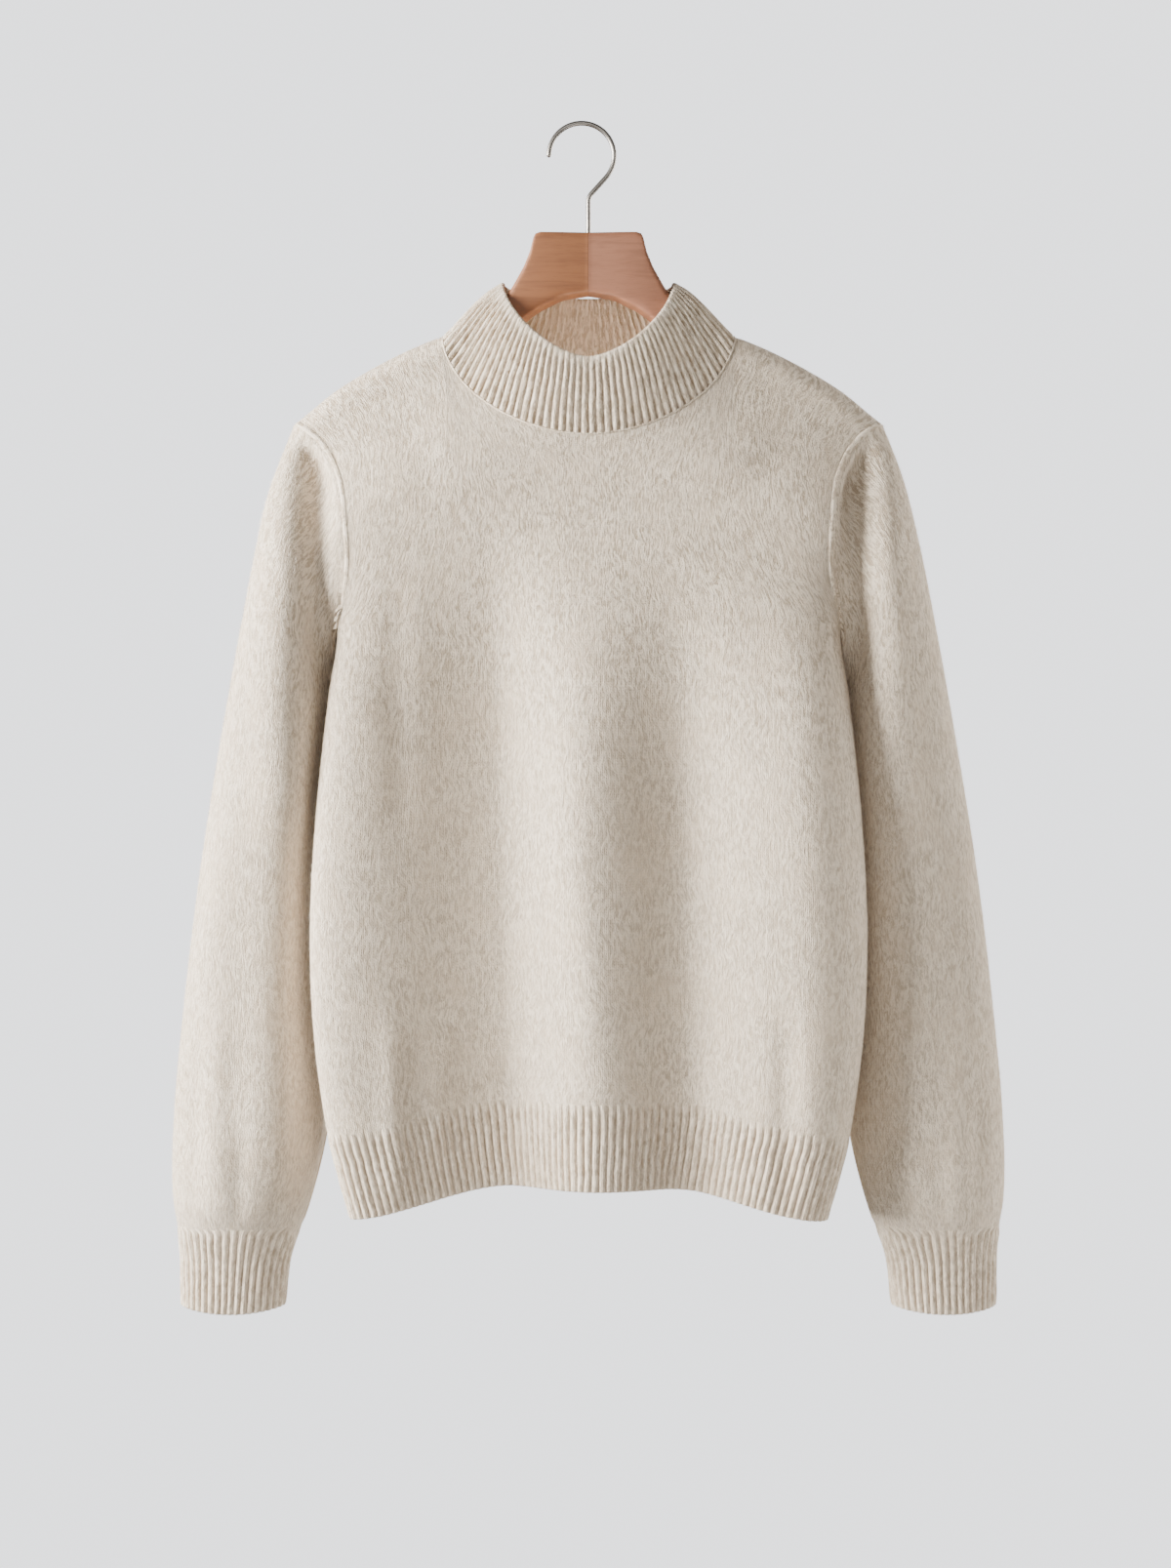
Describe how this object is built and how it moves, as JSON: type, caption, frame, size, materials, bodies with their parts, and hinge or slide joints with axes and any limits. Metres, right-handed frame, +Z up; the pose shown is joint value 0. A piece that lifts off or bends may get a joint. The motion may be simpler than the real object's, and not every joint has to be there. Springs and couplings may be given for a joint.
{
  "type": "mock neck sweater on a wooden clothes hanger with a wire hook",
  "caption": "Long-sleeved brushed wool sweater with a ribbed mock neck, cuffs and hem, hanging on a wooden hanger whose wire hook goes over a rail.",
  "frame": {"origin": "inside the crown of the hook, where the rail carries it", "axes": "+Z up, -Y towards the front of the sweater, +X to the right as seen from the front"},
  "size_m": [0.5768, 0.132, 0.8194],
  "materials": {
    "knit": "brushed cream wool with a soft nap",
    "rib": "cream wool rib",
    "wood": "satin brown wood",
    "wire": "brushed steel wire"
  },
  "bodies": {
    "root": {"front": "knit", "back": "knit", "sleeve_left": "knit", "sleeve_right": "knit", "collar": "rib", "hem_rib_front": "rib", "hem_rib_back": "rib", "cuff_left": "rib", "cuff_right": "rib", "hanger": "wood", "hook": "wire"}
  },
  "joints": []
}
